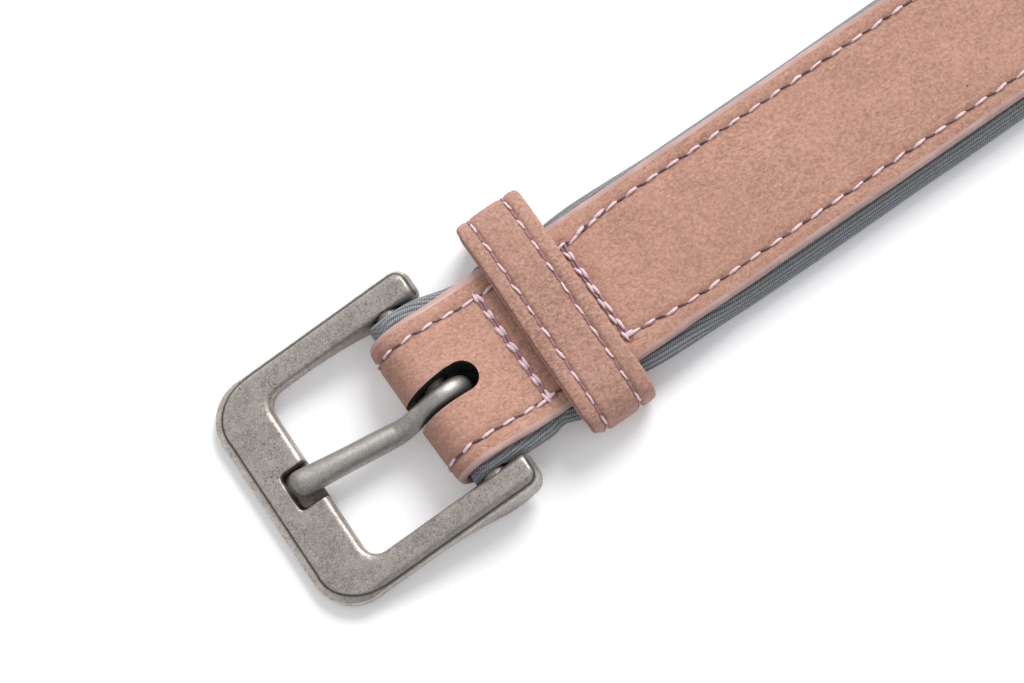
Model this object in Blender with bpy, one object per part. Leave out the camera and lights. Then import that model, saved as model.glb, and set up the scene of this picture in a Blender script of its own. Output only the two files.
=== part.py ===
"""Padded dog collar lying open and flat: cast buckle, folded leather strap, padding and keeper.

Metres, +Z up. The strap runs along +X from the buckle to its tip. Shapes are worked out in
millimetres round the heel bar's axis (x 0, y 0, z PIN_Z above the floor) and moved at the end,
so that the origin is under the middle of the whole collar.
"""
import math

import bmesh
import bpy
from mathutils import Matrix, Vector

MM = 0.001

# clearances
GAP = 0.3                 # between pieces that touch on the real collar
PIN_PLAY = 0.55           # lining to the heel bar, so that the buckle can sit a little askew
FLOOR_GAP = 0.25          # fold to the floor
SLOT_SIDE_GAP = 0.53      # prong to the slot's sides
SLOT_END_GAP = 0.26       # prong's eye to the slot's round end
NOTCH_SIDE_GAP = 1.28     # prong to the notch's sides
HOLE_GAP = 0.8            # tongue hole over the prong's diameter
ARM_GAP = 1.1             # padding to the buckle's arms

# leather strap
LEATHER_T = 1.7
LEATHER_W = 25.3
COLLAR_LENGTH = 480.0     # front of the buckle to the tip
ROW_1_X = 12.9            # cross stitching in front of the keeper, from the heel bar
ROW_2_X = 28.0            # cross stitching behind the keeper
RETURN_PAST_ROW = 3.0     # folded-back end past the second cross row
TIP_LENGTH = 14.0
HOLE_COUNT = 5
HOLE_PITCH = 20.0
FIRST_HOLE = 45.0         # from the tip
SLOT_Y = 0.15

# padding
LINING_T = 0.9            # where it is folded and sewn flat
PAD_T = 6.0               # along the strap
PAD_OVERHANG = 1.7        # past the leather on each side
FOLD_OVERHANG = 1.25      # the same between the ears
PAD_TO_HOLES = 16.0       # end of the padding to the last hole
PAD_SWELL = 17.0          # length over which it swells behind the fold

# keeper loop
KEEPER_T = 1.7
KEEPER_ROW_GAP = 1.7      # its edges to the cross rows
KEEPER_END_ROOM = 3.8     # empty room at each end of the loop
KEEPER_SHIFT = 1.1        # it has slid a little to one side
KEEPER_ARCH = 0.8         # rise over the leather in the middle

# heel bar
PIN_R = 2.0
PIN_SEAT = 2.4            # how far each end goes into its ear

# buckle frame, in its own plane
ARM_W = 5.0
FRAME_FRONT = 32.0        # heel bar axis to the front edge
FRONT_BAR = 9.4           # depth of the front bar at its underside
SEAT_WALL = 0.4           # metal over the heel bar's seat
FRAME_T = 3.0             # thickness of the front bar
OUT_CHAMFER = 1.45
IN_ROUND = 0.9
EDGE_DROP = 1.12
OUT_CORNER_R = 8.0
IN_CORNER_R = 2.7
EAR_OUT_R = 2.2
EAR_IN_R = 0.9
NOTCH_DEPTH = 2.0
NOTCH_WALL = 4.75         # far wall of the notch from the front edge
NOTCH_CORNER_R = 0.8
NOTCH_Y = 0.45
FRAME_SHIFT = 0.6         # sideways play of the frame on the strap
FRAME_YAW = -1.2          # degrees askew on the strap

# prong
PRONG_D = 3.94
PRONG_EYE_INSET = 0.35    # how much less the eye drops under the bar than the fold does
PRONG_TIP_GAP = 1.1       # tip to the far wall of the notch
PRONG_TIP_T = 3.2         # height of the prong at its tip
PRONG_DROP = 1.5          # its low run under the heel bar's axis
PRONG_LEAN = 0.091        # sideways per length in front of the fold
PRONG_LEAN_FROM = -4.5

# values that follow
FOLD_LINING_R = PIN_R + PIN_PLAY + LINING_T / 2
FOLD_LEATHER_R = PIN_R + PIN_PLAY + LINING_T + GAP + LEATHER_T / 2
FOLD_OUT_R = FOLD_LEATHER_R + LEATHER_T / 2
PIN_Z = FOLD_OUT_R + FLOOR_GAP
EAR_R = FOLD_OUT_R
PAD_W = LEATHER_W + 2 * PAD_OVERHANG
PAD_W_FOLD = LEATHER_W + 2 * FOLD_OVERHANG
FRAME_IN_W = PAD_W_FOLD + 2 * ARM_GAP
FRAME_OUT_W = FRAME_IN_W + 2 * ARM_W
FRAME_TOP = PIN_R + GAP + SEAT_WALL
NOTCH_W = PRONG_D + 2 * NOTCH_SIDE_GAP
SLOT_W = PRONG_D + 2 * SLOT_SIDE_GAP
SLOT_PAST_PIN = PIN_R + GAP + PRONG_D + SLOT_END_GAP
KEEPER_X = (ROW_1_X + ROW_2_X) / 2 + 0.35
KEEPER_W = ROW_2_X - ROW_1_X - 2 * KEEPER_ROW_GAP
KEEPER_LENGTH = PAD_W + 2 * (KEEPER_T + KEEPER_END_ROOM)
LEATHER_HALF_STACK = GAP / 2 + LINING_T + GAP + LEATHER_T / 2
LINING_HALF_STACK = GAP / 2 + LINING_T / 2
STACK_MID = KEEPER_T + GAP + LEATHER_T / 2 + LEATHER_HALF_STACK
PAD_LEATHER_Z = PAD_T + GAP + LEATHER_T / 2
RETURN_X = ROW_2_X + RETURN_PAST_ROW
TIP_X = COLLAR_LENGTH - FRAME_FRONT
HOLES_X = [TIP_X - FIRST_HOLE - HOLE_PITCH * i for i in range(HOLE_COUNT)]
PAD_END_X = HOLES_X[-1] - PAD_TO_HOLES
SETTLE = PAD_END_X - 12.0
PRONG_EYE_T = FOLD_OUT_R - PIN_R - GAP - PRONG_EYE_INSET
PRONG_LOW_Z = PIN_Z - PRONG_DROP
PRONG_BEND_X = -FOLD_OUT_R - 0.9 * PRONG_D


def ease(t):
    """Smooth step from 0 to 1."""
    t = min(max(t, 0.0), 1.0)
    return t * t * (3 - 2 * t)


def blend(a, b, t):
    return a + (b - a) * ease(t)


def material(name, colour, roughness, metallic=0.0):
    mat = bpy.data.materials.new(name)
    mat.use_nodes = True
    shader = mat.node_tree.nodes["Principled BSDF"]
    shader.inputs["Base Color"].default_value = (*colour, 1.0)
    shader.inputs["Roughness"].default_value = roughness
    shader.inputs["Metallic"].default_value = metallic
    mat.diffuse_color = (*colour, 1.0)
    return mat


def make_object(name, bm, mat, smooth=True):
    """Turn a bmesh in millimetres into a named object with outward faces."""
    bmesh.ops.recalc_face_normals(bm, faces=bm.faces)
    for vert in bm.verts:
        vert.co = vert.co * MM
    mesh = bpy.data.meshes.new(name)
    bm.to_mesh(mesh)
    bm.free()
    obj = bpy.data.objects.new(name, mesh)
    bpy.context.collection.objects.link(obj)
    if mat is not None:
        mesh.materials.append(mat)
    if smooth:
        mesh.shade_smooth()
        mesh.set_sharp_from_angle(angle=math.radians(35))
    return obj


def skin(rings, closed=False):
    """A bmesh over rings of points with equal counts; open ends get flat caps."""
    bm = bmesh.new()
    rows = [[bm.verts.new(p) for p in ring] for ring in rings]
    count = len(rows[0])
    last = len(rows) if closed else len(rows) - 1
    for i in range(last):
        a = rows[i]
        b = rows[(i + 1) % len(rows)]
        for j in range(count):
            k = (j + 1) % count
            bm.faces.new((a[j], a[k], b[k], b[j]))
    if not closed:
        bm.faces.new(rows[0])
        bm.faces.new(rows[-1])
    return bm


def prism(outline, low, high, axis="Z"):
    """Extrude an outline of (a, b) pairs: XY along Z, or XZ along Y."""
    if axis == "Z":
        rings = [[(a, b, level) for a, b in outline] for level in (low, high)]
    else:
        rings = [[(a, level, b) for a, b in outline] for level in (low, high)]
    return skin(rings)


def arc(cx, cy, radius, start, end, steps):
    """Points on an arc, angles in degrees."""
    points = []
    for i in range(steps + 1):
        angle = math.radians(start + (end - start) * i / steps)
        points.append((cx + radius * math.cos(angle), cy + radius * math.sin(angle)))
    return points


def cutter(obj):
    obj.hide_render = True
    obj.display_type = "WIRE"
    return obj


def boolean(obj, other, operation="DIFFERENCE"):
    mod = obj.modifiers.new(other.name, "BOOLEAN")
    mod.operation = operation
    mod.solver = "EXACT"
    mod.object = other
    return mod


def band_section(half_width, thickness, steps=4):
    """Flat band with half-round edges, as (across, normal) pairs."""
    radius = thickness / 2
    points = []
    for side in (1, -1):
        for i in range(steps + 1):
            angle = math.radians(-90 + 180 * i / steps)
            across = side * (half_width - radius + radius * math.cos(angle))
            points.append((across, side * radius * math.sin(angle)))
    return points


def pad_section(half_width, thickness, steps=6):
    """Padded band: flat middle, bulging sides, as (across, normal) pairs."""
    radius = thickness / 2
    bulge = min(radius, 0.3 + 0.62 * radius)
    points = []
    for side in (1, -1):
        for i in range(steps + 1):
            angle = math.radians(-90 + 180 * i / steps)
            across = side * (half_width - bulge + bulge * math.cos(angle))
            points.append((across, side * radius * math.sin(angle)))
    return points


def along_x(line, sections):
    """Rings for a strip whose centre line is [(x, z, slope angle)] in the XZ plane."""
    rings = []
    for (x, z, tilt), section in zip(line, sections):
        nx = -math.sin(tilt)
        nz = math.cos(tilt)
        rings.append([(x + n * nx, y, z + n * nz) for y, n in section])
    return rings


def tilted(points):
    """Add each point's direction angle to a list of (x, z)."""
    line = []
    for i, (x, z) in enumerate(points):
        ax, az = points[max(i - 1, 0)]
        bx, bz = points[min(i + 1, len(points) - 1)]
        line.append((x, z, math.atan2(bz - az, bx - ax)))
    return line


# heights of the layers along the strap

def leather_top_z(x):
    """Centre of the upper leather layer."""
    sewn = STACK_MID + LEATHER_HALF_STACK
    if x < ROW_1_X:
        return blend(PIN_Z + FOLD_LEATHER_R, sewn, x / ROW_1_X)
    if x < SETTLE:
        return blend(sewn, PAD_LEATHER_Z, (x - RETURN_X) / (2 * PAD_SWELL))
    return blend(PAD_LEATHER_Z, LEATHER_T / 2, (x - SETTLE) / (2 * PAD_TO_HOLES))


def leather_return_z(x):
    """Centre of the leather folded back underneath."""
    return blend(PIN_Z - FOLD_LEATHER_R, STACK_MID - LEATHER_HALF_STACK, x / ROW_1_X)


def pad_top_z(x):
    """Upper surface of the padding under the upper leather."""
    return leather_top_z(x) - LEATHER_T / 2 - GAP


def pad_bottom_z(x):
    """Lower surface of the padding: flat in the fold, then swelling down to the floor."""
    if x < RETURN_X + GAP:
        return pad_top_z(x) - LINING_T
    start = pad_top_z(x) - LINING_T
    return blend(start, 0.0, (x - RETURN_X - 1.0) / PAD_SWELL)


def lining_return_z(x):
    """Centre of the lining folded back underneath."""
    return blend(PIN_Z - FOLD_LINING_R, STACK_MID - LINING_HALF_STACK, x / ROW_1_X)


def pad_half_width(x):
    return blend(PAD_W_FOLD, PAD_W, (x - EAR_R - 1.0) / 4.0) / 2


def tip_half_width(x):
    """Half width of the leather, rounding off at the tip."""
    share = (x - (TIP_X - TIP_LENGTH)) / (TIP_LENGTH * 1.02)
    if share <= 0:
        return LEATHER_W / 2
    return LEATHER_W / 2 * (1 - share ** 2.3) ** (1 / 2.3)


def spaced(start, end, count):
    return [start + (end - start) * i / count for i in range(count + 1)]


def make_strap(mat):
    """Leather in three lengths that meet under the keeper and behind the padding."""
    fold_steps = 14
    folded = [(x, leather_return_z(x)) for x in spaced(RETURN_X, 0.0, 12)]
    folded += [
        (x, PIN_Z + z)
        for x, z in arc(0, 0, FOLD_LEATHER_R, -90, -270, fold_steps)[1:-1]
    ]
    upper = spaced(0.0, ROW_1_X, 8) + spaced(ROW_1_X, KEEPER_X - GAP / 2, 3)[1:]
    folded += [(x, leather_top_z(x)) for x in upper]
    run = spaced(KEEPER_X + GAP / 2, RETURN_X, 2)
    run += spaced(RETURN_X, RETURN_X + 2 * PAD_SWELL, 6)[1:]
    run += spaced(RETURN_X + 2 * PAD_SWELL, SETTLE - GAP / 2, 6)[1:]
    end = spaced(SETTLE + GAP / 2, SETTLE + 2 * PAD_TO_HOLES, 10)
    end += spaced(SETTLE + 2 * PAD_TO_HOLES, TIP_X - TIP_LENGTH, 4)[1:]
    turn = spaced(0.0, 90.0, 10)[1:]
    end += [TIP_X - TIP_LENGTH + TIP_LENGTH * math.sin(math.radians(a)) for a in turn]
    lengths = (
        ("strap_leather_fold", folded),
        ("strap_leather", [(x, leather_top_z(x)) for x in run]),
        ("strap_leather_tip", [(x, leather_top_z(x)) for x in end]),
    )
    made = []
    for name, points in lengths:
        sections = [band_section(tip_half_width(x), LEATHER_T) for x, _z in points]
        rings = along_x(tilted(points), sections)
        made.append(make_object(name, skin(rings), mat))
    fold, strap, tip = made
    for number, x in enumerate(HOLES_X):
        radius = (PRONG_D + HOLE_GAP) / 2
        outline = arc(x, 0, radius, 0, 360, 20)[:-1]
        hole = make_object("hole_cut_%d" % number, prism(outline, -2, LEATHER_T + 4), None)
        boolean(tip, cutter(hole))
    return fold, strap, tip


def make_padding(mat):
    """Padding in two lengths: sewn flat round the heel bar, then swelling along the strap."""
    split = RETURN_X + GAP
    points = [(x, lining_return_z(x)) for x in spaced(RETURN_X, 0.0, 12)]
    points += [
        (x, PIN_Z + z)
        for x, z in arc(0, 0, FOLD_LINING_R, -90, -270, 12)[1:-1]
    ]
    upper = spaced(0.0, ROW_1_X, 8) + spaced(ROW_1_X, split, 4)[1:]
    points += [(x, pad_top_z(x) - LINING_T / 2) for x in upper]
    sections = [pad_section(pad_half_width(x), LINING_T) for x, _z in points]
    fold = make_object("padding_fold", skin(along_x(tilted(points), sections)), mat)
    run = spaced(split + GAP, RETURN_X + 2 * PAD_SWELL, 12)
    run += spaced(RETURN_X + 2 * PAD_SWELL, SETTLE, 6)[1:]
    run += spaced(SETTLE, PAD_END_X, 5)[1:]
    line = []
    sections = []
    for x in run:
        high = pad_top_z(x)
        low = pad_bottom_z(x)
        line.append((x, (high + low) / 2, 0.0))
        narrow = blend(1.0, 0.86, (x - SETTLE) / (PAD_END_X - SETTLE))
        sections.append(pad_section(pad_half_width(x) * narrow, high - low))
    return fold, make_object("padding", skin(along_x(line, sections)), mat)


def cut_slot(leather, lining):
    """Round-ended slot that lets the prong's eye through the fold."""
    radius = SLOT_W / 2
    front = -FOLD_LEATHER_R - LEATHER_T
    outline = arc(SLOT_PAST_PIN - radius, SLOT_Y, radius, -90, 90, 12)
    outline += [(front, SLOT_Y + radius), (front, SLOT_Y - radius)]
    high = PIN_Z + FOLD_LEATHER_R + LEATHER_T + 2
    slot = cutter(make_object("slot_cut", prism(outline, -2, high), None))
    boolean(leather, slot)
    boolean(lining, slot)


def make_keeper(mat):
    """Flattened loop whose top arches over the strap and whose bottom lies on the floor."""
    half = KEEPER_LENGTH / 2 - KEEPER_T / 2
    low = KEEPER_T / 2
    top = STACK_MID + LEATHER_HALF_STACK + LEATHER_T / 2 + GAP + KEEPER_ARCH + KEEPER_T / 2
    middle = (top + low) / 2
    height = (top - low) / 2
    count = 72
    centre = []
    for i in range(count):
        angle = 2 * math.pi * i / count
        power = 2.9 if math.sin(angle) >= 0 else 6.5
        y = half * math.copysign(abs(math.cos(angle)) ** (2 / 3.4), math.cos(angle))
        share = min(abs(y) / half, 1.0)
        z = middle + math.copysign(height, math.sin(angle)) * (1 - share ** power) ** (1 / power)
        centre.append((y, z))
    rings = []
    for i in range(count):
        ay, az = centre[i - 1]
        by, bz = centre[(i + 1) % count]
        length = math.hypot(by - ay, bz - az)
        ny = (bz - az) / length
        nz = -(by - ay) / length
        y, z = centre[i]
        section = band_section(KEEPER_W / 2, KEEPER_T)
        rings.append([(KEEPER_X + a, KEEPER_SHIFT + y + n * ny, z + n * nz) for a, n in section])
    return make_object("keeper", skin(rings, closed=True), mat)


def frame_outline(outer, inner):
    """U outline of the buckle frame, drawn in by `outer` outside and widened by `inner` inside."""
    front = -FRAME_FRONT + outer
    side = FRAME_OUT_W / 2 - outer
    wall = FRAME_IN_W / 2 + inner
    bar = -FRAME_FRONT + FRONT_BAR - inner
    heel = EAR_R + 0.05 - outer * 0.5
    corner = OUT_CORNER_R - outer
    window = IN_CORNER_R + inner * 0.4
    out_r = EAR_OUT_R - outer * 0.6
    in_r = EAR_IN_R
    half = arc(heel - out_r, side - out_r, out_r, 0, 90, 5)
    half += arc(front + corner, side - corner, corner, 90, 180, 12)
    inside = arc(bar + window, wall - window, window, 180, 90, 6)
    inside += arc(heel - in_r, wall + in_r, in_r, -90, 0, 3)
    lower = [(x, -y) for x, y in reversed(half)]
    lower_inside = [(x, -y) for x, y in reversed(inside)]
    return half + lower + lower_inside + inside


def ear_profile():
    """Side view of the frame: flat bars, then an ear dropping round the heel bar."""
    under = FRAME_TOP - FRAME_T
    top = FRAME_TOP + 0.6
    start = math.degrees(math.asin(top / EAR_R))
    outline = [(-FRAME_FRONT - 2, top)]
    outline += arc(0, 0, EAR_R, start, -132, 26)
    end_x, end_z = outline[-1]
    blend_from = -FRAME_FRONT * 0.47
    steps = 8
    for i in range(1, steps + 1):
        t = i / steps
        x = end_x + (blend_from - end_x) * t
        z = end_z + (under - end_z) * (1 - (1 - t) ** 2.2)
        outline.append((x, z))
    outline.append((-FRAME_FRONT - 2, under))
    return list(reversed(outline))


def frame_matrix():
    """Place of the frame: pitched so that its front edge lies on the floor, and a little askew."""
    under = FRAME_T - FRAME_TOP
    reach = math.hypot(FRAME_FRONT, under)
    pitch = math.asin(PIN_Z / reach) - math.atan2(under, FRAME_FRONT)
    turn = Matrix.Rotation(math.radians(FRAME_YAW), 4, "Z") @ Matrix.Rotation(-pitch, 4, "Y")
    return Matrix.Translation((0, FRAME_SHIFT * MM, PIN_Z * MM)) @ turn


def make_frame(mat):
    rings = []
    bottom = -EAR_R - 1.0
    levels = [(bottom, 0.0)]
    levels += [(FRAME_TOP - EDGE_DROP * (1 - share), share) for share in (0, 0.35, 0.7, 0.9, 1)]
    for z, share in levels:
        outer = OUT_CHAMFER * share
        inner = IN_ROUND * (1 - math.sqrt(max(0.0, 1 - share * share)))
        rings.append([(x, y, z) for x, y in frame_outline(outer, inner)])
    frame = make_object("buckle_frame", skin(rings), mat)
    side = prism(ear_profile(), -FRAME_OUT_W, FRAME_OUT_W, axis="Y")
    boolean(frame, cutter(make_object("ear_guide", side, None)), "INTERSECT")
    wall = -FRAME_FRONT + NOTCH_WALL
    back = -FRAME_FRONT + FRONT_BAR + 3
    half = NOTCH_W / 2
    corner = wall + NOTCH_CORNER_R
    outline = arc(corner, NOTCH_Y + half - NOTCH_CORNER_R, NOTCH_CORNER_R, 90, 180, 4)
    outline += arc(corner, NOTCH_Y - half + NOTCH_CORNER_R, NOTCH_CORNER_R, 180, 270, 4)
    outline += [(back, NOTCH_Y - half), (back, NOTCH_Y + half)]
    notch = prism(outline, FRAME_TOP - NOTCH_DEPTH, FRAME_TOP + 2)
    boolean(frame, cutter(make_object("notch_cut", notch, None)))
    seat = arc(0, 0, PIN_R + GAP, 0, 360, 24)[:-1]
    reach = FRAME_IN_W / 2 + PIN_SEAT + GAP
    bore = prism(seat, -reach, reach, axis="Y")
    boolean(frame, cutter(make_object("seat_cut", bore, None)))
    return frame


def make_heel_bar(mat):
    reach = FRAME_IN_W / 2 + PIN_SEAT
    bar = prism(arc(0, 0, PIN_R, 0, 360, 24)[:-1], -reach, reach, axis="Y")
    return make_object("heel_bar", bar, mat)


def make_prong(mat, placed):
    """Round rod: straight from the tip, up an S bend, over the bar and curled back under it."""
    half = PRONG_D / 2
    notch_edge = Vector((FRONT_BAR - FRAME_FRONT, 0, FRAME_TOP - NOTCH_DEPTH))
    pitched = placed.to_3x3() @ notch_edge
    tip_z = PIN_Z + pitched.z + GAP + blend(PRONG_TIP_T / 2, half, 0.55)
    tip_x = -(FRAME_FRONT - NOTCH_WALL) * 0.985 + PRONG_TIP_GAP
    top_z = PIN_Z + PIN_R + GAP + half
    path = []
    for share in (0.0, 0.12, 0.35, 0.65, 1.0):
        path.append((tip_x + 1.9 * share, tip_z, 0.42 + 0.58 * math.sin(share * math.pi / 2)))
    run = spaced(tip_x + 1.9, PRONG_BEND_X, 5)[1:]
    for x in run:
        share = (x - tip_x - 1.9) / (PRONG_BEND_X - tip_x - 1.9)
        path.append((x, tip_z + (PRONG_LOW_Z - tip_z) * share, 1.0))
    for x in spaced(PRONG_BEND_X, -0.5, 9)[1:]:
        share = (x - PRONG_BEND_X) / (-0.5 - PRONG_BEND_X)
        path.append((x, PRONG_LOW_Z + (top_z - PRONG_LOW_Z) * ease(share), 1.0))
    line = tilted([(x, z) for x, z, _size in path])
    rings = []
    count = 14
    for (x, z, tilt), (_x, _z, size) in zip(line, path):
        near_tip = blend(PRONG_TIP_T / 2, half, (x - tip_x) / 9.0)
        lean = PRONG_LEAN * (PRONG_LEAN_FROM - x) * ease((PRONG_LEAN_FROM + 2.0 - x) / 5.0)
        rings.append(rod_ring(x, lean, z, tilt, half * size, near_tip * size, count))
    curl = spaced(0.0, 262.0, 22)[1:]
    for angle in curl:
        share = angle / 262.0
        thick = half + (PRONG_EYE_T / 2 - half) * ease(share * 1.35)
        radius = PIN_R + GAP + thick
        a = math.radians(90 - angle)
        x = radius * math.cos(a)
        z = PIN_Z + radius * math.sin(a)
        end = 1.0 if share < 0.97 else 0.7
        rings.append(rod_ring(x, 0.0, z, -math.radians(angle), half * end, thick * end, count))
    return make_object("prong", skin(rings), mat)


def rod_ring(x, y, z, tilt, half_y, half_n, count):
    nx = -math.sin(tilt)
    nz = math.cos(tilt)
    ring = []
    for i in range(count):
        a = 2 * math.pi * i / count
        n = half_n * math.sin(a)
        ring.append((x + n * nx, y + half_y * math.cos(a), z + n * nz))
    return ring


def settle(objects):
    """Put the origin under the middle of the collar and each piece's origin on its own axis."""
    bpy.context.view_layer.update()
    graph = bpy.context.evaluated_depsgraph_get()
    low = Vector((1e9, 1e9, 1e9))
    high = -low
    for obj in objects:
        shaped = obj.evaluated_get(graph)
        for vert in shaped.data.vertices:
            point = shaped.matrix_world @ vert.co
            for axis in range(3):
                low[axis] = min(low[axis], point[axis])
                high[axis] = max(high[axis], point[axis])
    base = bpy.data.objects.new("collar", None)
    bpy.context.collection.objects.link(base)
    for obj in bpy.data.objects:
        if obj is not base and obj.parent is None:
            obj.parent = base
    base.location = (-(low.x + high.x) / 2, -(low.y + high.y) / 2, -low.z)


def main():
    for obj in list(bpy.data.objects):
        bpy.data.objects.remove(obj)
    leather = material("leather", (0.46, 0.26, 0.20), 0.75)
    fabric = material("padding_fabric", (0.10, 0.12, 0.13), 0.9)
    metal = material("antique_nickel", (0.42, 0.40, 0.37), 0.4, 1.0)

    fold, strap, tip = make_strap(leather)
    padding_fold, padding = make_padding(fabric)
    cut_slot(fold, padding_fold)
    keeper = make_keeper(leather)
    frame = make_frame(metal)
    bar = make_heel_bar(metal)
    placed = frame_matrix()
    for obj in (frame, bar) + tuple(mod.object for mod in frame.modifiers):
        obj.matrix_world = placed
    prong = make_prong(metal, placed)
    axis = Matrix.Translation((0, 0, PIN_Z * MM))
    prong.data.transform(axis.inverted())
    prong.matrix_world = axis
    settle((fold, strap, tip, padding_fold, padding, keeper, frame, bar, prong))


main()
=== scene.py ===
"""Padded dog collar on a pale floor: strap leather, ribbed padding, keeper, cast buckle, stitches."""
from functools import partial
from math import asin, atan2, copysign, cos, dist, exp, hypot, pi, radians, sin, sqrt

import bmesh
import bpy
from mathutils import Matrix, Vector, noise


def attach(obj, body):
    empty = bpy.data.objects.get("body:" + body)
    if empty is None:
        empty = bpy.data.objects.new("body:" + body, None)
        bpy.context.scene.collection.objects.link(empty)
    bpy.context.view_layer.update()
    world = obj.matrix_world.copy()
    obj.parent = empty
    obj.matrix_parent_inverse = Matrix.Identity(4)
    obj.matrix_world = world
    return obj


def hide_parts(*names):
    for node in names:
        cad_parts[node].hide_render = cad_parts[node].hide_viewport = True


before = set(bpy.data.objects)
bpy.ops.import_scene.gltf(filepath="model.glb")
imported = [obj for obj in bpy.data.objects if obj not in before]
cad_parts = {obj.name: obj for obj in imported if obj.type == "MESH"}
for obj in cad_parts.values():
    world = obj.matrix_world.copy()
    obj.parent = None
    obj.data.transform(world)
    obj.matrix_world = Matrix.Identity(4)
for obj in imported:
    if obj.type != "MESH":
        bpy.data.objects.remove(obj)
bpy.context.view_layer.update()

MM = 0.001

# the heel bar's place in the collar; shapes below are worked out in millimetres from it
BAR_X = -207.975
BAR_Y = -0.81
PIN_Z = 5.7
PIN_R = 2.0
GAP = 0.3

# strap
LEATHER_T = 1.7
LEATHER_W = 25.3
LEATHER_STEPS = 56
BACK_STEPS = 12
EDGE_STEPS = 8
FOLD_R = 4.6
ROW_1_X = 12.9
ROW_2_X = 28.0
RETURN_X = 31.0
TOP_SEWN_Z = 7.15
RETURN_SEWN_Z = 2.85
SLOT_END = 6.5
SLOT_UNDER_END = 4.8
SLOT_HALF = 2.5
SLOT_Y = 0.1
SETTLE = 295.0
SETTLE_RUN = 32.0
TIP_X = 448.0
TIP_LENGTH = 14.0
TIP_POWER = 2.3
HOLES_X = (403.0, 383.0, 363.0, 343.0, 323.0)
HOLE_R = 2.37
HOLE_STEPS = 32

# padding
PAD_HALF = 14.35
PAD_HALF_FOLD = 13.9
PAD_END_X = 307.0
LINING_FOLD_R = 3.45
SWELL = 17.0
BORE_PLAY = 0.45
BORE_REACH = 17.0
RIB_PITCH = 0.78
RIB_HEIGHT = 0.19
SIDE_STEPS = 84
CREST_WIDTH = 2.9

# stitching
ROW_INSET = 3.05
STITCH_PITCH = 3.8
GROOVE_WIDTH = 0.55
TIP_ROW_A = TIP_LENGTH - ROW_INSET
TIP_ROW_B = LEATHER_W / 2 - ROW_INSET
CROSS_TWIN = 0.27

# keeper
KEEPER_X = 20.8
KEEPER_W = 11.7
KEEPER_T = 1.7
KEEPER_HALF = 19.3
KEEPER_SHIFT = 1.4
KEEPER_SLID = 0.42
KEEPER_SKEW = 0.02
KEEPER_TOP = 10.9
KEEPER_ROWS = 3.1
KEEPER_ROUND = 3.4
KEEPER_SQUARE = 6.5
KEEPER_STEPS = 40

# buckle frame
FRAME_SHIFT = 0.6
FRAME_YAW = radians(-1.2)
FRAME_FRONT = 32.0
FRAME_OUT_HALF = 20.0
CORNER_R = 8.0
EAR_R = 5.45
EAR_CORNER_R = 2.2
UNDER = 0.3
FRAME_TOP = 2.7
NOTCH_Y = 0.45
NOTCH_BACK_X = -22.0
EAR_STRETCH = 0.12
VOXEL = 0.175
SOFTENING = 16
FRAME_PITCH = asin(PIN_Z / hypot(FRAME_FRONT, UNDER)) - atan2(UNDER, FRAME_FRONT)

# prong
PRONG_HALF = 1.97
PRONG_TIP_X = -26.35
PRONG_NOSE = 1.75
PRONG_BEND_X = -8.996
EYE_HALF = 1.4
EYE_WIDE = 1.6
EYE_TURN = 262


def place(x, y, z):
    """A point given in millimetres from the heel bar, in the collar's own frame."""
    return ((x + BAR_X) * MM, (y + BAR_Y) * MM, z * MM)


def ease(t):
    t = min(max(t, 0.0), 1.0)
    return t * t * (3 - 2 * t)


def blend(a, b, t):
    return a + (b - a) * ease(t)


def bell(x, middle, width):
    return exp(-((x - middle) / width) ** 2)


def ripple(x, y, z, size):
    """Smooth unevenness between -1 and 1, with bumps about `size` millimetres long."""
    return noise.noise(Vector((x, y, z)) / size)


# materials

def join(tree, value, socket):
    """Link a socket to another one, or give it a plain value."""
    if isinstance(value, bpy.types.NodeSocket):
        tree.links.new(value, socket)
    elif isinstance(value, tuple) and socket.type == "RGBA":
        socket.default_value = (*value, 1.0)
    else:
        socket.default_value = value


def add_node(tree, kind, inputs=None, **settings):
    """The outputs of a new node, whose inputs are values or links by socket name or number."""
    made = tree.nodes.new(kind)
    for key, value in settings.items():
        setattr(made, key, value)
    for key, value in (inputs or {}).items():
        join(tree, value, made.inputs[key])
    return made.outputs


def calc(tree, operation, *values, clamp=False):
    inputs = dict(enumerate(values))
    return add_node(tree, "ShaderNodeMath", inputs, operation=operation, use_clamp=clamp)[0]


def times(tree, value, weight):
    return calc(tree, "MULTIPLY", value, weight)


def weighed(tree, *pairs):
    """The sum of values that are each multiplied by a weight."""
    total = times(tree, *pairs[0])
    for pair in pairs[1:]:
        total = calc(tree, "ADD", total, times(tree, *pair))
    return total


def mix_colour(tree, factor, a, b):
    return add_node(tree, "ShaderNodeMix", {0: factor, 6: a, 7: b}, data_type="RGBA")[2]


def mix_value(tree, factor, a, b):
    return add_node(tree, "ShaderNodeMix", {0: factor, 2: a, 3: b}, data_type="FLOAT")[0]


def ramp(tree, value, low, high, bottom=0.0, top=1.0):
    """`bottom` below `low`, `top` above `high`, smooth between."""
    inputs = {"Value": value, "From Min": low, "From Max": high, "To Min": bottom, "To Max": top}
    return add_node(tree, "ShaderNodeMapRange", inputs, interpolation_type="SMOOTHSTEP")["Result"]


def noise_of(tree, vector, scale, detail=2.0, distortion=0.0, roughness=0.5):
    inputs = {"Vector": vector, "Scale": scale, "Detail": detail,
              "Distortion": distortion, "Roughness": roughness}
    return add_node(tree, "ShaderNodeTexNoise", inputs)["Fac"]


def cells(tree, vector, scale):
    return add_node(tree, "ShaderNodeTexVoronoi", {"Vector": vector, "Scale": scale})["Distance"]


def object_place(tree):
    return add_node(tree, "ShaderNodeTexCoord")["Object"]


def attribute(tree, name):
    return add_node(tree, "ShaderNodeAttribute", attribute_name=name)["Fac"]


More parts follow.
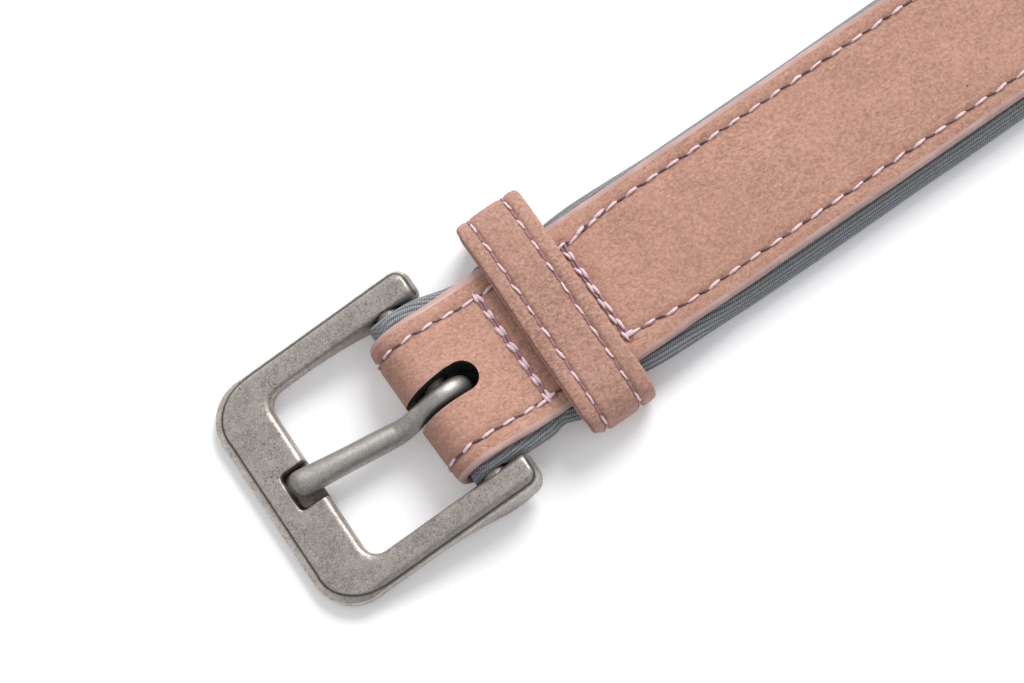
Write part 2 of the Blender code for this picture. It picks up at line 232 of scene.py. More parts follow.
def open_group(name, inputs):
    """A shader node group with named inputs: its tree and what it is given."""
    tree = bpy.data.node_groups.new(name, "ShaderNodeTree")
    for label, value in inputs.items():
        kind = "NodeSocketColor" if isinstance(value, tuple) else "NodeSocketFloat"
        socket = tree.interface.new_socket(label, in_out="INPUT", socket_type=kind)
        socket.default_value = (*value, 1.0) if isinstance(value, tuple) else value
    return tree, tree.nodes.new("NodeGroupInput").outputs


def close_group(tree, colour, height, rough):
    """Send the group's colour, height and roughness to its outputs."""
    for label in ("Colour", "Height", "Roughness"):
        kind = "NodeSocketColor" if label == "Colour" else "NodeSocketFloat"
        tree.interface.new_socket(label, in_out="OUTPUT", socket_type=kind)
    end = tree.nodes.new("NodeGroupOutput").inputs
    for socket, value in zip(end, (colour, height, rough)):
        tree.links.new(value, socket)
    return tree


def hide_grain_group():
    """Brushed nap, soft mottling, short curled wrinkles and a few dark specks of a hide."""
    tree, given = open_group(
        "hide_grain", {"Light": (0.6, 0.36, 0.28), "Dark": (0.36, 0.19, 0.14), "Wrinkle": 1.0})
    at = object_place(tree)
    flow = {"Vector": at, "Rotation": (0.0, 0.0, 0.5), "Scale": (0.62, 1.5, 1.0)}
    nap = noise_of(tree, at, 1900, 3.0, 0.5, 0.65)
    wrinkles = noise_of(tree, add_node(tree, "ShaderNodeMapping", flow)["Vector"], 900, 2.0, 1.4)
    creases_and_shade = noise_of(tree, at, 330, 2.0, 0.9)
    soft = noise_of(tree, at, 150, 3.0, 0.5, 0.55)
    wide = noise_of(tree, at, 34, 2.0, 0.3)
    patch = ramp(tree, noise_of(tree, at, 50, 1.5, 0.4), 0.38, 0.68)
    wrinkles = mix_value(tree, mix_value(tree, patch, 0.35, 1.0), 0.5, wrinkles)
    grain = weighed(tree, (nap, 1.0), (wrinkles, 0.5), (soft, 0.26), (wide, 0.22))
    shade = ramp(tree, grain, 0.66, 1.34)
    colour = mix_colour(tree, shade, given["Dark"], given["Light"])
    rare = times(tree, ramp(tree, noise_of(tree, at, 90, 0.0), 0.66, 0.78), 0.085)
    speck = calc(tree, "LESS_THAN", cells(tree, at, 260), rare)
    colour = mix_colour(tree, times(tree, speck, 0.7), colour, (0.1, 0.05, 0.035))
    height = weighed(tree, (nap, 0.38), (wrinkles, 1.3), (creases_and_shade, 0.5))
    height = times(tree, height, given["Wrinkle"])
    return close_group(tree, colour, height, calc(tree, "SUBTRACT", 0.88, times(tree, shade, 0.12)))


def patina_group():
    """Worn grey plating: soft mottling, fine cast skin, small dark pits, rubbed bright edges that also
    carry a painted reflection, and dark patina in hollows that also carries painted shade.
    """
    tree, given = open_group(
        "cast_patina",
        {"Metal": (0.3, 0.28, 0.26), "Shade": (0.17, 0.155, 0.14), "Rubbed and sheen": (0.6, 0.57, 0.53),
         "Pits": 1.0, "Wear and sheen": 0.0, "Hollows and shade": 0.0})
    at = object_place(tree)
    wide = noise_of(tree, at, 210, 3.0, 0.6, 0.55)
    mid = noise_of(tree, at, 1250, 3.0, 0.7, 0.66)
    fine = noise_of(tree, at, 4200, 2.0, 0.4, 0.6)
    tone = ramp(tree, weighed(tree, (wide, 0.3), (mid, 0.35), (fine, 0.65)), 0.42, 0.88)
    tone = calc(tree, "SUBTRACT", 1.0, tone)
    colour = mix_colour(tree, tone, given["Metal"], given["Shade"])
    size = times(tree, ramp(tree, noise_of(tree, at, 330, 1.0), 0.5, 0.72), 0.22)
    pits = times(tree, calc(tree, "LESS_THAN", cells(tree, at, 1400), size), given["Pits"])
    # lighter along rubbed rounded edges (real wear) and on the outer shoulder band, where the lightening
    # is a painted reflection
    rubbed_and_sheen = times(tree, given["Wear and sheen"], ramp(tree, mid, 0.2, 0.62))
    colour = mix_colour(tree, rubbed_and_sheen, colour, given["Rubbed and sheen"])
    colour = mix_colour(tree, times(tree, pits, 0.62), colour, (0.045, 0.035, 0.03))
    # darkening from the mask: patina in the frame's hollows, painted shade on the notch floor, and a
    # darker prong tip and eye
    patchiness = calc(tree, "ADD", 0.55, times(tree, mid, 0.6))
    patina_and_shade = calc(tree, "MULTIPLY", given["Hollows and shade"], patchiness, clamp=True)
    colour = mix_colour(tree, patina_and_shade, colour, (0.03, 0.019, 0.012))
    height = calc(tree, "SUBTRACT", weighed(tree, (fine, 0.35), (mid, 0.35)), pits)
    rough = calc(tree, "ADD", 0.47, times(tree, tone, 0.1))
    rough = calc(tree, "SUBTRACT", rough, times(tree, rubbed_and_sheen, 0.08))
    rough = calc(tree, "ADD", rough, times(tree, patina_and_shade, 0.3))
    return close_group(tree, colour, height, rough)


HIDE = hide_grain_group()
PATINA = patina_group()


def new_material(name, values):
    """A material, its tree and its shader's inputs, some of which are given constant values."""
    mat = bpy.data.materials.new(name)
    mat.use_nodes = True
    shader = mat.node_tree.nodes["Principled BSDF"].inputs
    for label, value in values.items():
        join(mat.node_tree, value, shader[label])
    return mat, mat.node_tree, shader


def finish_with(tree, shader, colour, height, bump):
    """Give the shader its colour and a bump of that many metres."""
    tree.links.new(colour, shader["Base Color"])
    normal = add_node(tree, "ShaderNodeBump", {"Height": height, "Distance": bump, "Strength": 1.0})
    tree.links.new(normal["Normal"], shader["Normal"])


def hide_material(name, light, dark, wrinkle):
    mat, tree, shader = new_material(name, {
        "Specular IOR Level": 0.25, "Sheen Weight": 0.12, "Sheen Roughness": 0.5,
        "Sheen Tint": (1.0, 0.86, 0.8)})
    given = {"Light": light, "Dark": dark, "Wrinkle": wrinkle}
    hide = add_node(tree, "ShaderNodeGroup", given, node_tree=HIDE)
    # darker brown in the stitched grooves, at the front of the fold and in the keeper's side gap: painted
    # shade
    marks_and_shade = times(tree, attribute(tree, "crease_and_shade"), 0.34)
    tree.links.new(hide["Roughness"], shader["Roughness"])
    colour = mix_colour(tree, marks_and_shade, hide["Colour"], (0.16, 0.075, 0.055))
    finish_with(tree, shader, colour, hide["Height"], 0.00013)
    return mat


def plain_material(name, colour, dark, roughness, scale, bump):
    """Smooth edge paint, or a near-black backing or cut wall that is painted shade, with a little
    unevenness.
    """
    mat, tree, shader = new_material(name, {"Roughness": roughness, "Specular IOR Level": 0.4})
    at = object_place(tree)
    cloud = ramp(tree, noise_of(tree, at, scale, 3.0, 0.4), 0.35, 0.7)
    finish_with(tree, shader, mix_colour(tree, cloud, dark, colour), noise_of(tree, at, scale * 4), bump)
    return mat


def patina_material(name, metal, shade, pits, bump):
    mat, tree, shader = new_material(name, {"Metallic": 1.0})
    given = {"Metal": metal, "Shade": shade, "Pits": pits,
             "Wear and sheen": attribute(tree, "wear_and_sheen"), "Hollows and shade": attribute(tree, "crease_and_shade")}
    skin = add_node(tree, "ShaderNodeGroup", given, node_tree=PATINA)
    tree.links.new(skin["Roughness"], shader["Roughness"])
    finish_with(tree, shader, skin["Colour"], skin["Height"], bump)
    return mat


def ribbed_material(name):
    """Knitted rib: the ribs are in the mesh, the slanting threads across them are here, and the valleys
    between ribs are darkened with painted shade.
    """
    mat, tree, shader = new_material(name, {
        "Roughness": 0.85, "Specular IOR Level": 0.3, "Sheen Weight": 0.25, "Sheen Roughness": 0.4})
    weave = add_node(tree, "ShaderNodeUVMap", uv_map="weave")["UV"]
    parts = add_node(tree, "ShaderNodeSeparateXYZ", {"Vector": weave})
    at = object_place(tree)
    wander = times(tree, noise_of(tree, at, 900), 1.6)
    slant = weighed(tree, (parts["X"], 2 * pi / 0.34), (parts["Y"], 2 * pi / 0.62))
    threads = calc(tree, "SINE", calc(tree, "ADD", slant, wander))
    threads = calc(tree, "MULTIPLY_ADD", threads, 0.5, 0.5)
    fuzz = noise_of(tree, at, 2600, 3.0, 0.0, 0.7)
    tone = weighed(tree, (threads, 0.34), (fuzz, 0.55))
    colour = mix_colour(tree, ramp(tree, tone, 0.1, 0.9), (0.125, 0.134, 0.146), (0.43, 0.448, 0.472))
    # painted shade in the valleys between ribs
    valley_shade = times(tree, attribute(tree, "valley_shade"), 0.92)
    colour = mix_colour(tree, valley_shade, colour, (0.012, 0.014, 0.018))
    finish_with(tree, shader, colour, tone, 0.00012)
    return mat


def thread_material(name, light, dark):
    """Twisted sewing thread, with a painted highlight on the crown of a stitch and painted shade where it
    dives.
    """
    mat, tree, shader = new_material(name, {"Roughness": 0.42, "Sheen Weight": 0.3})
    fibres = noise_of(tree, object_place(tree), 3200, 2.0, 1.5)
    where = calc(tree, "ADD", attribute(tree, "dip"), times(tree, fibres, 0.35))
    finish_with(tree, shader, mix_colour(tree, ramp(tree, where, 0.5, 1.1), light, dark), fibres, 0.0001)
    return mat


MAT_HIDE = hide_material("pink_nubuck", (0.585, 0.335, 0.258), (0.335, 0.172, 0.127), 1.0)
MAT_KEEPER = hide_material("keeper_nubuck", (0.56, 0.325, 0.255), (0.275, 0.145, 0.11), 1.25)
MAT_EDGE = plain_material("painted_edge", (0.53, 0.355, 0.325), (0.44, 0.28, 0.25), 0.4, 220, 0.00003)
# near-black painted shade on the backs of the leather and on the keeper's inside
MAT_BACK_SHADE = plain_material("leather_back_shade", (0.05, 0.055, 0.06), (0.03, 0.032, 0.036), 0.8, 400, 0.0001)
# near-black painted shade for the slot, the cut walls and the bore round the heel bar
MAT_SLOT_SHADE = plain_material("slot_shade_black", (0.02, 0.022, 0.026), (0.01, 0.011, 0.013), 0.7, 500, 0.0001)
MAT_RIB = ribbed_material("ribbed_knit")
MAT_FRAME = patina_material("antique_nickel", (0.58, 0.532, 0.492), (0.235, 0.21, 0.19), 1.0, 0.00006)
MAT_PRONG = patina_material("prong_nickel", (0.5, 0.475, 0.45), (0.3, 0.28, 0.262), 0.6, 0.00003)
MAT_BAR = patina_material("bar_nickel", (0.4, 0.37, 0.34), (0.25, 0.23, 0.21), 0.3, 0.00002)
# pink thread with a painted highlight on its crown; the plum and mauve finishes darken the dips as painted
# shade
MAT_THREAD = thread_material("pink_thread", (0.77, 0.58, 0.63), (0.33, 0.15, 0.19))
MAT_PLUM_SHADE = thread_material("plum_thread_hole_shade", (0.085, 0.038, 0.045), (0.02, 0.01, 0.012))
MAT_MAUVE_SHADE = thread_material("mauve_thread_dip_shade", (0.34, 0.16, 0.19), (0.13, 0.055, 0.07))


# meshes

def add_object(name, data):
    obj = bpy.data.objects.new(name, data)
    bpy.context.collection.objects.link(obj)
    return obj


def store(mesh, masks):
    """Keep a value for each vertex under each mask's name."""
    for label, values in masks.items():
        layer = mesh.attributes.new(label, "FLOAT", "POINT")
        layer.data.foreach_set("value", values)


def skin_mesh(name, rings, finishes, finish_of=None, uv=None, masks=None, closed=False):
    """Quads over rings of points in millimetres. finish_of(i, j) picks a finish for a quad, uv(i, j)
    gives a corner's place on the cloth, and masks holds values for each point by name."""
    count = len(rings[0])
    verts = [place(*p) for ring in rings for p in ring]
    faces = []
    finish = []
    last = len(rings) if closed else len(rings) - 1
    corners = []
    for i in range(last):
        k = (i + 1) % len(rings)
        for j in range(count):
            m = (j + 1) % count
            faces.append((i * count + j, i * count + m, k * count + m, k * count + j))
            finish.append(finish_of(i, j) if finish_of else 0)
            if uv:
                corners += [uv(i, j), uv(i, j + 1), uv(i + 1, j + 1), uv(i + 1, j)]
    if not closed:
        end = (len(rings) - 1) * count
        faces.append(tuple(reversed(range(count))))
        faces.append(tuple(range(end, end + count)))
        finish += [finish[0], finish[-1]]
        if uv:
            corners += [uv(0, j) for j in reversed(range(count))]
            corners += [uv(len(rings) - 1, j) for j in range(count)]
    mesh = bpy.data.meshes.new(name)
    mesh.from_pydata(verts, [], faces)
    for item in finishes:
        mesh.materials.append(item)
    mesh.polygons.foreach_set("material_index", finish)
    if uv:
        layer = mesh.uv_layers.new(name="weave")
        layer.data.foreach_set("uv", [c for pair in corners for c in pair])
    store(mesh, masks)
    turn_outward(mesh)
    mesh.shade_smooth()
    return add_object(name, mesh)


def turn_outward(mesh):
    """Flip a closed mesh whose faces point inwards."""
    bm = bmesh.new()
    bm.from_mesh(mesh)
    if bm.calc_volume(signed=True) < 0:
        bmesh.ops.reverse_faces(bm, faces=bm.faces)
        bm.to_mesh(mesh)
    bm.free()


def apply_modifiers(obj):
    """Swap the object's mesh for its finished one."""
    graph = bpy.context.evaluated_depsgraph_get()
    graph.update()
    made = bpy.data.meshes.new_from_object(obj.evaluated_get(graph), preserve_all_data_layers=True,
                                           depsgraph=graph)
    old = obj.data
    obj.modifiers.clear()
    obj.data = made
    made.name = obj.name
    bpy.data.meshes.remove(old)


def prism(bm, base, top):
    """A closed prism between two outlines of points."""
    base = [bm.verts.new(p) for p in base]
    top = [bm.verts.new(p) for p in top]
    bm.faces.new(list(reversed(base)))
    bm.faces.new(top)
    for i in range(len(base)):
        k = (i + 1) % len(base)
        bm.faces.new((base[i], base[k], top[k], top[i]))


def cut(obj, prisms=(), bore=None):
    """Cut upright prisms (outline, low, high) or a bore round the heel bar; the cut walls take a
    near-black finish that is painted shade.
    """
    bm = bmesh.new()
    for outline, low, high in prisms:
        prism(bm, [place(x, y, low) for x, y in outline], [place(x, y, high) for x, y in outline])
    if bore:
        ring = round_outline(0.0, PIN_Z, bore, 0, 360, 40)[:-1]
        prism(bm, [place(x, BORE_REACH, z) for x, z in ring], [place(x, -BORE_REACH, z) for x, z in ring])
    bmesh.ops.recalc_face_normals(bm, faces=bm.faces)
    mesh = bpy.data.meshes.new("cutter")
    bm.to_mesh(mesh)
    bm.free()
    mesh.materials.append(MAT_SLOT_SHADE)
    tool = add_object("cutter", mesh)
    mod = obj.modifiers.new("cut", "BOOLEAN")
    mod.operation = "DIFFERENCE"
    mod.solver = "MANIFOLD"
    mod.material_mode = "TRANSFER"
    mod.object = tool
    apply_modifiers(obj)
    bpy.data.objects.remove(tool)
    obj.data.set_sharp_from_angle(angle=radians(42))


def round_outline(x, y, radius, start, end, steps):
    points = []
    for i in range(steps + 1):
        angle = radians(start + (end - start) * i / steps)
        points.append((x + radius * cos(angle), y + radius * sin(angle)))
    return points


def under_face(near, far, round_y, thick, left, right, steps):
    """A flat strip's section below its face: rounded edge, flat back and rounded edge."""
    ring = []
    for j in range(1, EDGE_STEPS):
        angle = pi / 2 + pi * j / EDGE_STEPS
        top = left if j < EDGE_STEPS / 2 else thick
        ring.append((far + round_y * cos(angle), top * sin(angle)))
    for j in range(steps + 1):
        ring.append((far + (near - far) * j / steps, -thick))
    for j in range(1, EDGE_STEPS):
        angle = -pi / 2 + pi * j / EDGE_STEPS
        top = right if j > EDGE_STEPS / 2 else thick
        ring.append((near + round_y * cos(angle), top * sin(angle)))
    return ring


# heights of the layers

def leather_top_z(x):
    if x < ROW_1_X:
        return blend(PIN_Z + FOLD_R, TOP_SEWN_Z, x / ROW_1_X)
    return blend(TOP_SEWN_Z, LEATHER_T / 2, (x - SETTLE) / SETTLE_RUN)


def leather_return_z(x):
    return blend(PIN_Z - FOLD_R, RETURN_SEWN_Z, x / ROW_1_X)


def tip_half(x):
    """Half width of the leather, which keeps a sliver of width at the very tip."""
    share = (x - (TIP_X - TIP_LENGTH)) / (TIP_LENGTH * 1.003)
    if share <= 0:
        return LEATHER_W / 2
    return LEATHER_W / 2 * (1 - share ** TIP_POWER) ** (1 / TIP_POWER)


def strap_route():
    """Leather centre line as (x, z, tilt): back from the folded end, round the bar, to the tip."""
    points = []
    x = RETURN_X
    while x > 0.01:
        points.append((x, leather_return_z(x)))
        x -= 0.6
    for i in range(41):
        angle = radians(-90 - 180 * i / 40)
        points.append((FOLD_R * cos(angle), PIN_Z + FOLD_R * sin(angle)))
    x = 0.5
    while x < TIP_X - TIP_LENGTH:
        points.append((x, leather_top_z(x)))
        x += 0.5 if x < 36 or SETTLE < x < SETTLE + SETTLE_RUN else 1.6
    for i in range(25):
        angle = radians(90 * i / 24)
        x = TIP_X - TIP_LENGTH + TIP_LENGTH * sin(angle)
        points.append((x, leather_top_z(x)))
    route = []
    for i, (x, z) in enumerate(points):
        ax, az = points[max(i - 1, 0)]
        bx, bz = points[min(i + 1, len(points) - 1)]
        route.append((x, z, atan2(bz - az, bx - ax)))
    return route


def row_nip(x):
    """How far the long rows run in beside the cross row behind the keeper."""
    return 1.2 * bell(x, ROW_2_X, 6.0)


def groove(x, y, upper):
    """How deep the long row of stitches pulls the leather down, 0 to 1."""
    from_tip = x - (TIP_X - TIP_LENGTH)
    if not upper or from_tip <= 0:
        return bell(abs(y), TIP_ROW_B - (row_nip(x) if upper else 0.0), GROOVE_WIDTH)
    reach = ((from_tip / TIP_ROW_A) ** TIP_POWER + (abs(y) / TIP_ROW_B) ** TIP_POWER) ** (1 / TIP_POWER)
    return bell((reach - 1) * hypot(from_tip, y) / reach, 0.0, GROOVE_WIDTH)


def leather_face(y, half, x, upper):
    """Height of the leather's outer face over its middle plane, and how creased it is."""
    sunk = groove(x, y, upper)
    cross = 0.0
    if upper and abs(y) < half - ROW_INSET + 0.4:
        cross = max(bell(x, ROW_1_X, 0.6), bell(x, ROW_2_X, 0.6))
    deep = max(sunk, cross)
    crown = 0.16 * (1 - (y / half) ** 2)
    shoulder = -0.16 * bell(abs(y), half - 0.6, 1.0)
    bumps = 0.07 * ripple(x, y, 3.0 if upper else 9.0, 9.0) + 0.03 * ripple(x, y, 1.0, 3.0)
    return LEATHER_T / 2 - 0.08 + crown + shoulder + bumps - 0.3 * deep, deep


def slot_outline(end=SLOT_END):
    """Tongue slot, round at its end and a little narrower where it opens round the fold."""
    front = -FOLD_R - LEATHER_T
    outline = round_outline(end - SLOT_HALF, SLOT_Y, SLOT_HALF, -90, 90, 24)
    outline += [(2.2, SLOT_Y + SLOT_HALF), (front, SLOT_Y + SLOT_HALF - 0.85)]
    outline += [(front, SLOT_Y - SLOT_HALF - 0.15), (1.5, SLOT_Y - SLOT_HALF)]
    return outline


def make_strap():
    rings = []
    creases_and_shade = []
    tipped = []
    for x, z, tilt in strap_route():
        upper = cos(tilt) > 0
        half = tip_half(x) if upper else LEATHER_W / 2
        wave = 0.16 * ripple(x, 0.0, 5.0, 14.0) + 0.06 * ripple(x, 4.0, 1.0, 4.0)
        half_now = half + wave
        thin = 1.0
        if upper and x > TIP_X - 1.0:
            thin = max(0.08, sqrt(max(0.0, 1 - (x - TIP_X + 1.0) ** 2)))
        tipped.append(upper and x > TIP_X - 0.5)
        round_y = min(LEATHER_T / 2, 0.6 * half_now)
        flat = half_now - round_y
        ring = []
        for j in range(LEATHER_STEPS + 1):
            y = flat - 2 * flat * j / LEATHER_STEPS
            n, deep = leather_face(y, half, x, upper)
            ring.append((y, n * thin))
            # the stitched grooves and the front of the fold are darkened: painted shade
            creases_and_shade.append(max(deep, 1.1 * ease((-x - 1.0) / 4.2)))
        below = under_face(flat, -flat, round_y, LEATHER_T / 2 * thin, ring[-1][1], ring[0][1], BACK_STEPS)
        creases_and_shade += [0.0] * len(below)
        nx = -sin(tilt)
        nz = cos(tilt)
        belly = 0.85 * bell(x, 14.0, 7.0) if upper else 0.0
        rings.append([(x + n * nx, y + belly * max(0.0, y / half) ** 8, max(z + n * nz, 0.0))
                      for y, n in ring + below])

    def finish_of(i, j):
        if tipped[i]:
            return 1
        if j < LEATHER_STEPS:
            return 0
        return 2 if LEATHER_STEPS + EDGE_STEPS <= j < LEATHER_STEPS + EDGE_STEPS + BACK_STEPS else 1

    strap = skin_mesh("strap_cover", rings, [MAT_HIDE, MAT_EDGE, MAT_BACK_SHADE, MAT_SLOT_SHADE], finish_of,
                      masks={"crease_and_shade": creases_and_shade})
    last = 360 - 360 / HOLE_STEPS
    holes = [round_outline(x, 0, HOLE_R, 0, last, HOLE_STEPS - 1) for x in HOLES_X]
    cut(strap, [(slot_outline(), 4.0, 13.0)])
    cut(strap, [(slot_outline(SLOT_UNDER_END), -1.0, 4.5)] + [(hole, -1.0, 5.0) for hole in holes])
    return strap


def padding_span(x):
    """Lowest and highest z of the padding at x: round the bar, sewn flat, then swollen."""
    if x < 0:
        reach = sqrt(max(LINING_FOLD_R ** 2 - x * x, 0.01))
        return PIN_Z - reach, PIN_Z + reach
    top = leather_top_z(x) - LEATHER_T / 2 - GAP
    back = leather_return_z(x) + LEATHER_T / 2 + GAP
    return blend(max(back, 0.0), 0.0, (x - RETURN_X - 1.0) / SWELL), top


def padding_half(x, side):
    """Half width of the padding: it fills the buckle's ears, is nipped by the front row and
    bulges beside the keeper."""
    in_ears = PAD_HALF_FOLD + (1.4 if side > 0 else 0.22)
    half = blend(in_ears, PAD_HALF - (0.22 if side > 0 else 0.0), (x - EAR_R + 2.0) / 8.0)
    wave = 0.14 * ripple(x, side * 7.0, 2.0, 17.0) + 0.05 * ripple(x, side * 3.0, 8.0, 6.0)
    if x < EAR_R - 2.0:
        return half + 0.3 * wave
    bulge = (0.35 if side > 0 else 0.7) * bell(x, 17.4, 2.4)
    bulge += (0.0 if side > 0 else 0.3) * bell(x, 34.0, 7.0)
    nip = 0.55 * bell(x, 12.8, 1.5) + 0.3 * bell(x, 26.0, 3.0)
    shrink = blend(0.0, 1.9, (x - SETTLE) / (PAD_END_X - SETTLE))
    return half + wave + bulge - nip - shrink


def padding_section(x):
    """Ribbed outline of the padding as (y, z, distance round it, painted valley shade)."""
    low, high = padding_span(x)
    tall = (high - low) / 2
    waist = low + (high - low) * blend(0.5, 0.36, (x - 1.0) / 30.0)
    over = max(high - waist, 1.5 if x > 2 else 0.0)
    under = max(waist - low, 1.2 if x > 2 else 0.0)
    rib = min(RIB_HEIGHT, 0.4 * tall)
    deep = blend(0.8, max(2.3, 0.3 + 0.8 * tall), (x - 2.0) / 12.0)
    base = []
    for side in (1, -1):
        inner = padding_half(x, side) - deep
        far = padding_half(x, -side) - deep
        for i in range(SIDE_STEPS + 1):
            angle = radians(-90 + 180 * i / SIDE_STEPS) * side
            y = inner + deep * cos(angle) ** 0.85 if i % SIDE_STEPS else inner
            rise = over if angle > 0 else under
            base.append((side * y, waist + rise * sin(angle)))
        face = high if side > 0 else low
        end = waist + over if side > 0 else waist - under
        core = inner - CREST_WIDTH
        far_core = far - CREST_WIDTH
        across = [inner - 0.1 * i for i in range(1, 30)]
        across += [core - (core + far_core) * i / 10 for i in range(1, 10)]
        across += [-far_core - 0.1 * i for i in range(29)]
        for y in across:
            rise = ease((abs(y) - (inner if y > 0 else far) + 1.4) / 1.4)
            base.append((side * y, face + (end - face) * rise))
    count = len(base)
    lengths = [0.0]
    for i in range(1, count + 1):
        lengths.append(lengths[-1] + dist(base[i % count], base[i - 1]))
    half_count = count // 2
    crest = SIDE_STEPS // 2
    outline = []
    for i, (y, z) in enumerate(base):
        py, pz = base[i - 1]
        ny, nz = base[(i + 1) % count]
        around = lengths[i] - lengths[crest]
        if i >= crest + half_count * 3 // 2:
            around -= lengths[count]
        elif i >= crest + half_count // 2:
            around = lengths[i] - lengths[crest + half_count]
        run = hypot(ny - py, nz - pz) or 1.0
        wave = abs(cos(pi * around / RIB_PITCH))
        lift = rib * (wave - 1.0)
        # how deep in a rib's valley, for the painted shade there
        valley_shade = max(0.0, 1.0 - wave * 2.2)
        outline.append((y + lift * (nz - pz) / run, max(z - lift * (ny - py) / run, 0.0), around, valley_shade))
    return outline


def make_padding():
    fold = (3, 12, 22, 32, 42, 52, 62, 72, 82)
    stations = [-LINING_FOLD_R * cos(radians(a)) for a in fold]
    x = 0.0
    while x < SETTLE:
        stations.append(x)
        x += 0.55 if x < 52 else 2.2
    stations += [SETTLE + (PAD_END_X - SETTLE) * i / 10 for i in range(11)]
    rings = []
    lengths = []
    valley_shades = []
    for x in stations:
        section = padding_section(x)
        rings.append([(x, y, z) for y, z, _around, _valley in section])
        lengths.append([around for _y, _z, around, _valley in section])
        valley_shades += [valley_shade for _y, _z, _around, valley_shade in section]
    count = len(rings[0])

    def cloth_place(i, j):
        i = min(i, len(rings) - 1)
        return stations[i], lengths[i][j if j < count else -1]

    pad = skin_mesh("padding_cover", rings, [MAT_RIB, MAT_SLOT_SHADE], uv=cloth_place, masks={"valley_shade": valley_shades})
    cut(pad, [(slot_outline(), -1.0, 13.0)])
    cut(pad, bore=PIN_R + BORE_PLAY)
    # the padding round the slot's mouth takes the near-black finish as painted shade
    for face in pad.data.polygons:
        x = face.center.x / MM - BAR_X
        y = face.center.y / MM - BAR_Y
        if x < SLOT_END + 1.5 and abs(y - SLOT_Y) < SLOT_HALF + 0.8:
            face.material_index = 1
    return pad


def keeper_line():
    """The keeper's middle line as (y, z, outward y, outward z, distance)."""
    low = KEEPER_T / 2
    top = KEEPER_TOP - KEEPER_T / 2
    middle = (low + top) / 2
    height = (top - low) / 2
    half = KEEPER_HALF - KEEPER_T / 2
    count = 300
    points = []
    for i in range(count):
        angle = 2 * pi * i / count
        power = KEEPER_ROUND if sin(angle) >= 0 else KEEPER_SQUARE
        y = half * copysign(abs(cos(angle)) ** (2 / KEEPER_ROUND), cos(angle))
        share = min(abs(y) / half, 1.0)
        z = middle + copysign(height, sin(angle)) * (1 - share ** power) ** (1 / power)
        points.append((y, z))
    line = []
    length = 0.0
    for i, (y, z) in enumerate(points):
        py, pz = points[i - 1]
        ny, nz = points[(i + 1) % count]
        if i:
            length += hypot(y - py, z - pz)
        run = hypot(ny - py, nz - pz)
        line.append((y, z, (nz - pz) / run, -(ny - py) / run, length))
    return line


def keeper_face(a, flat, deep):
    """Height of the keeper's outer face over its middle line, `a` across it from its own middle."""
    return KEEPER_T / 2 - 0.1 + 0.2 * (1 - (a / flat) ** 2) - 0.36 * deep


def make_keeper():
    radius = KEEPER_T / 2
    back_steps = 8
    rings = []
    creases_and_shade = []
    for y, z, out_y, out_z, length in keeper_line():
        wave = 0.1 * ripple(length, 2.0, 6.0, 12.0)
        flat = KEEPER_W / 2 + wave - radius
        pull = 0.45 * ease((abs(y) - 16.0) / 3.0) + 1.4 * ease((6.0 - z) / 3.5)
        right = flat + 0.35 * ease((-y - 4.0) / 14.0)
        ring = []
        for j in range(KEEPER_STEPS + 1):
            a = right - (right + flat - pull) * j / KEEPER_STEPS
            deep = bell(abs(a), KEEPER_ROWS, 0.42)
            lip = bell(abs(a), flat - 0.5, 1.0)
            bumps = 0.05 * ripple(a, length, 4.0, 5.0)
            ring.append((a, keeper_face(a, flat, deep) + 0.12 * lip + bumps))
            creases_and_shade.append(deep)
        below = under_face(right, pull - flat, radius, radius, radius, radius, back_steps)
        # a dark line along the keeper's side, painted shadow of the gap between its two layers
        creases_and_shade += [0.0, 2.2] + [0.0] * (len(below) - 2)
        middle = KEEPER_X + KEEPER_SLID + KEEPER_SKEW * y
        rings.append([(middle + a, KEEPER_SHIFT + y + n * out_y, max(z + n * out_z, 0.0))
                      for a, n in ring + below])

    def finish_of(_i, j):
        return 1 if 0 <= j - KEEPER_STEPS - EDGE_STEPS < back_steps else 0

    return skin_mesh("keeper_loop", rings, [MAT_KEEPER, MAT_BACK_SHADE], finish_of,
                     masks={"crease_and_shade": creases_and_shade}, closed=True)


# buckle

FRAME_PLACE = (Matrix.Translation((BAR_X, BAR_Y + FRAME_SHIFT, PIN_Z))
               @ Matrix.Rotation(FRAME_YAW, 4, "Z") @ Matrix.Rotation(-FRAME_PITCH, 4, "Y"))


def rim_depth(x, y):
    """How far a point of the frame's own plane lies inside its outer outline."""
    middle_x = (EAR_R - FRAME_FRONT) / 2
    half_x = (EAR_R + FRAME_FRONT) / 2
    radius = CORNER_R if x < -10 else EAR_CORNER_R
    dx = abs(x - middle_x) - (half_x - radius)
    dy = abs(y) - (FRAME_OUT_HALF - radius)
    outside = hypot(max(dx, 0.0), max(dy, 0.0))
    return radius - outside - min(max(dx, dy), 0.0)


def corner_push(own):
    """Fills the front corners out to the tighter curve of the casting."""
    dx = -own.x - (FRAME_FRONT - CORNER_R)
    dy = abs(own.y) - (FRAME_OUT_HALF - CORNER_R)
    if dx <= 0 or dy <= 0:
        return Vector((0.0, 0.0, 0.0))
    amount = 0.42 * 2 * dx * dy / (dx * dx + dy * dy) * ease((6.5 - rim_depth(own.x, own.y)) / 5.0)
    run = hypot(dx, dy)
    return Vector((-amount * dx / run, copysign(amount * dy / run, own.y), 0.0))


